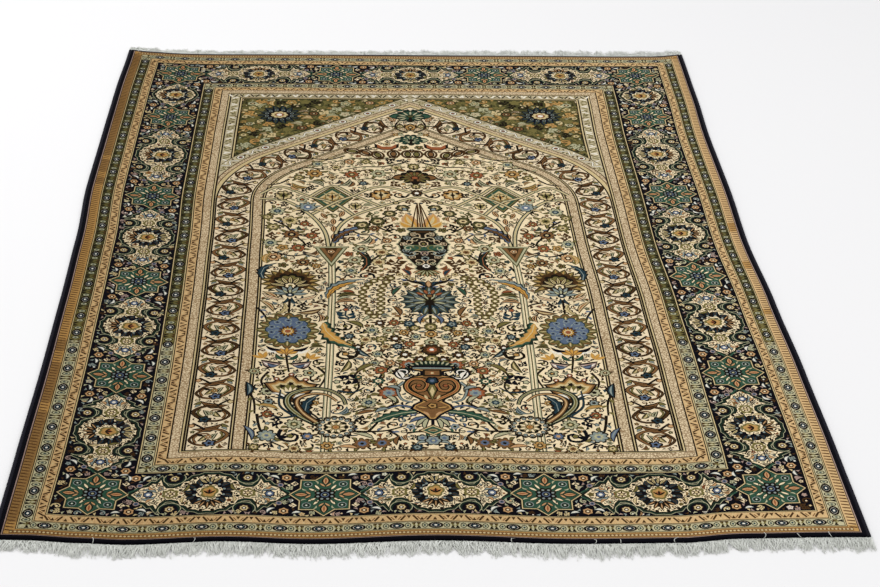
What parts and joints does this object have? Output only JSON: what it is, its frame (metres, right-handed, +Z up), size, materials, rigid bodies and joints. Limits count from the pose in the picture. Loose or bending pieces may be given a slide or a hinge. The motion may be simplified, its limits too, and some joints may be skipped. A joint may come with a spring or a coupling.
{
  "type": "persian rug",
  "caption": "Hand-knotted prayer rug with a niche field, flowered borders, overcast sides and a warp fringe at both ends, lying flat.",
  "frame": {"origin": "middle of the rug's underside, fringes included", "axes": "+Y along the rug's length towards the pointed end of the niche, +X to the right as seen from the near end, +Z up out of the pile"},
  "size_m": [1.416, 2.1212, 0.0065],
  "materials": {
    "knotted_pile": "knotted wool pile, clipped, soft sheen",
    "overcast_cord": "dark wool yarn wound over a warp bundle",
    "warp_fringe": "loose plied cotton warp ends, matt"
  },
  "bodies": {
    "root": {"woven_pile": "knotted_pile", "selvedge_left": "overcast_cord", "selvedge_right": "overcast_cord", "fringe_front": "warp_fringe", "fringe_back": "warp_fringe"}
  },
  "joints": []
}
